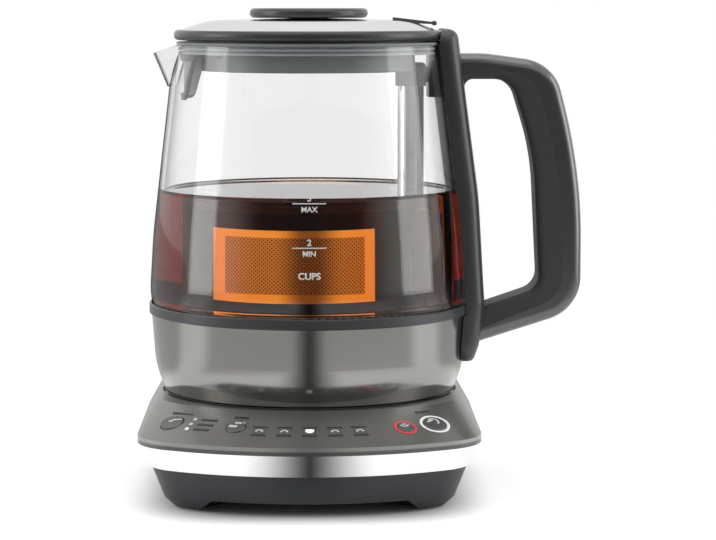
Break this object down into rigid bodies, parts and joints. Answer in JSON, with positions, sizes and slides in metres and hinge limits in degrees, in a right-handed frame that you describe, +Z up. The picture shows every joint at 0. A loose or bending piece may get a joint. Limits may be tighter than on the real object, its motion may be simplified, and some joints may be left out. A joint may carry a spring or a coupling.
{
  "type": "automatic tea maker",
  "caption": "Automatic tea maker: glass jug with steel foot, loop handle and lid on a power base with sloping control panel; tea basket rides a steel post inside.",
  "frame": {"origin": "middle of the footprint's bounding box, on the surface that the rubber feet stand on", "axes": "+Z up; -Y to the front, where the control panel slopes down; +X to the handle's side, spout at -X"},
  "size_m": [0.2054, 0.18, 0.2243],
  "materials": {
    "dark_gloss_plastic": "dark blue-grey moulded plastic, satin gloss",
    "base_cover_plastic": "dark grey panel, polished",
    "grey_plastic": "mid grey moulded plastic",
    "handle_cover_plastic": "grey metallic lacquer",
    "brushed_steel": "brushed stainless steel",
    "polished_steel": "polished stainless steel",
    "clear_glass": "clear borosilicate glass",
    "rubber": "matt black rubber",
    "silicone": "grey silicone",
    "aluminium": "cast and rolled aluminium",
    "brass": "bright brass",
    "circuit_board": "green laminate",
    "lamp_lens": "translucent white lens",
    "black_plastic": "black moulded plastic",
    "zinc_steel": "zinc plated steel",
    "motor_can": "plated steel can"
  },
  "bodies": {
    "base": {"base_housing": "dark_gloss_plastic", "front_trim": "polished_steel", "base_cover": "base_cover_plastic", "indicator_lamps": "lamp_lens", "button_light_rings": "lamp_lens", "switch_boards": "circuit_board", "tact_switches": "black_plastic", "bottom_plate": "black_plastic", "rubber_feet": "rubber", "base_screws": "zinc_steel", "power_board": "circuit_board", "power_components": "black_plastic", "cord_inlet": "rubber", "base_connector": "black_plastic", "contact_rings": "brass"},
    "tea_button": {"tea_button": "dark_gloss_plastic"},
    "strength_button": {"strength_button": "dark_gloss_plastic"},
    "warm_button": {"warm_button": "dark_gloss_plastic"},
    "start_button": {"start_button": "dark_gloss_plastic"},
    "jug": {"jug_shell": "brushed_steel", "jug_underside": "black_plastic", "jug_band": "dark_gloss_plastic", "heater_plate": "brushed_steel", "heat_spreader": "aluminium", "heating_element": "aluminium", "plate_seal": "silicone", "temperature_probe": "brushed_steel", "jug_connector": "black_plastic", "contact_prongs": "brass", "glass_jug": "clear_glass", "post_foot": "grey_plastic", "guide_post": "polished_steel", "post_cap": "grey_plastic", "lift_motor": "motor_can", "motor_mount": "black_plastic", "rim_bracket": "dark_gloss_plastic", "handle_column": "dark_gloss_plastic", "handle_cover": "handle_cover_plastic", "handle_grip": "dark_gloss_plastic", "handle_screws": "zinc_steel"},
    "drive": {"lead_screw": "zinc_steel", "shaft_coupler": "zinc_steel", "motor_shaft": "zinc_steel"},
    "carrier": {"magnet_carrier": "black_plastic", "carrier_magnets": "zinc_steel"},
    "basket": {"basket_shell": "brushed_steel", "basket_floor": "brushed_steel", "basket_screens": "brushed_steel", "basket_saddle": "grey_plastic", "saddle_slugs": "zinc_steel"},
    "basket_lid": {"basket_lid": "grey_plastic"},
    "lid": {"lid_rim": "dark_gloss_plastic", "lid_top": "brushed_steel", "lid_knob": "dark_gloss_plastic", "lid_skirt": "grey_plastic", "lid_seal": "silicone", "lid_tab": "polished_steel", "spout_strainer": "black_plastic", "strainer_mesh": "brushed_steel"}
  },
  "joints": [
    {"name": "jug_lift", "type": "slide", "parent": "base", "child": "jug", "axis": [0, 0, 1], "range_m": [0, 0.08]},
    {"name": "lid_lift", "type": "slide", "parent": "jug", "child": "lid", "axis": [0, 0, 1], "range_m": [0, 0.09]},
    {"name": "basket_lift", "type": "slide", "parent": "jug", "child": "basket", "axis": [0, 0, 1], "range_m": [0, 0.054]},
    {"name": "basket_lid_lift", "type": "slide", "parent": "basket", "child": "basket_lid", "axis": [0, 0, 1], "range_m": [0, 0.014]},
    {"name": "carrier_slide", "type": "slide", "parent": "jug", "child": "carrier", "axis": [0, 0, 1], "range_m": [0, 0.054]},
    {"name": "screw_turn", "type": "hinge", "parent": "jug", "child": "drive", "pos_m": [0.02295, 0.01, 0.0757], "axis": [0, 0, 1], "range_deg": [0, 2432]},
    {"name": "tea_press", "type": "slide", "parent": "base", "child": "tea_button", "axis": [0.1696, 0.3555, -0.9191], "range_m": [0, 0.0008], "stiffness_N_per_m": 300, "springref_m": -0.0006},
    {"name": "strength_press", "type": "slide", "parent": "base", "child": "strength_button", "axis": [0.1696, 0.3555, -0.9191], "range_m": [0, 0.0008], "stiffness_N_per_m": 300, "springref_m": -0.0006},
    {"name": "warm_press", "type": "slide", "parent": "base", "child": "warm_button", "axis": [-0.1745, 0.3531, -0.9191], "range_m": [0, 0.0008], "stiffness_N_per_m": 300, "springref_m": -0.0006},
    {"name": "start_press", "type": "slide", "parent": "base", "child": "start_button", "axis": [-0.1745, 0.3531, -0.9191], "range_m": [0, 0.0008], "stiffness_N_per_m": 300, "springref_m": -0.0006}
  ],
  "couplings": [
    {"joint": "carrier_slide", "follows": "basket_lift", "ratio": 1},
    {"joint": "screw_turn", "follows": "basket_lift", "rad_per_m": 785.4}
  ]
}
